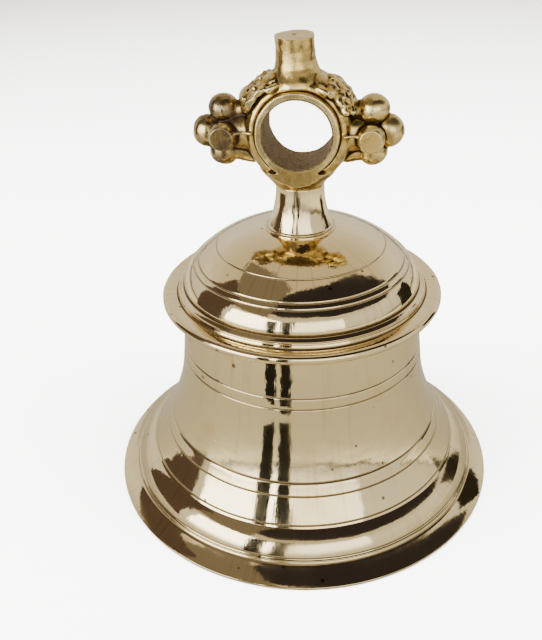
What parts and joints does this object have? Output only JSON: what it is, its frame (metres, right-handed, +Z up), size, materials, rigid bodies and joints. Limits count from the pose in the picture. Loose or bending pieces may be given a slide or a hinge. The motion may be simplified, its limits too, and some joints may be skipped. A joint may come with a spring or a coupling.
{
  "type": "temple bell",
  "caption": "Hanging bell of turned bell metal with a flanged dome, a cast crown ring with ball finials, and a clapper on a shackle inside.",
  "frame": {"origin": "on the bell's axis, in the plane of the rim", "axes": "+Z up the bell's axis towards the crown ring, Y along the bore of the crown ring, X along the ring's two arms"},
  "size_m": [0.2844, 0.2844, 0.3175],
  "materials": {
    "bell_metal": "turned and mirror polished, with fine grooves",
    "crown_brass": "sand cast, brushed over and darkened in the hollows",
    "forged_steel": "forged, scale left on",
    "turned_steel": "turned bright",
    "oiled_leather": "oiled, punched from sheet",
    "clapper_brass": "turned, left to dull"
  },
  "bodies": {
    "bell": {"bell_body": "bell_metal", "neck_collar": "bell_metal", "crown_handle": "crown_brass", "crown_eye_bolt": "forged_steel", "crown_pad": "oiled_leather", "crown_washer": "turned_steel", "crown_nut": "turned_steel"},
    "shackle": {"shackle_bow": "forged_steel", "shackle_pin": "turned_steel", "shackle_pin_nut": "turned_steel"},
    "clapper": {"clapper_rod": "forged_steel", "clapper_ball": "clapper_brass", "clapper_nut": "clapper_brass"}
  },
  "joints": [
    {"name": "shackle_swing", "type": "hinge", "parent": "bell", "child": "shackle", "pos_m": [0, 0, 0.14779], "axis": [1, 0, 0], "range_deg": [-8, 8]},
    {"name": "clapper_swing", "type": "hinge", "parent": "shackle", "child": "clapper", "pos_m": [0, 0, 0.13429], "axis": [0, 1, 0], "range_deg": [-37.5, 37.5]}
  ]
}
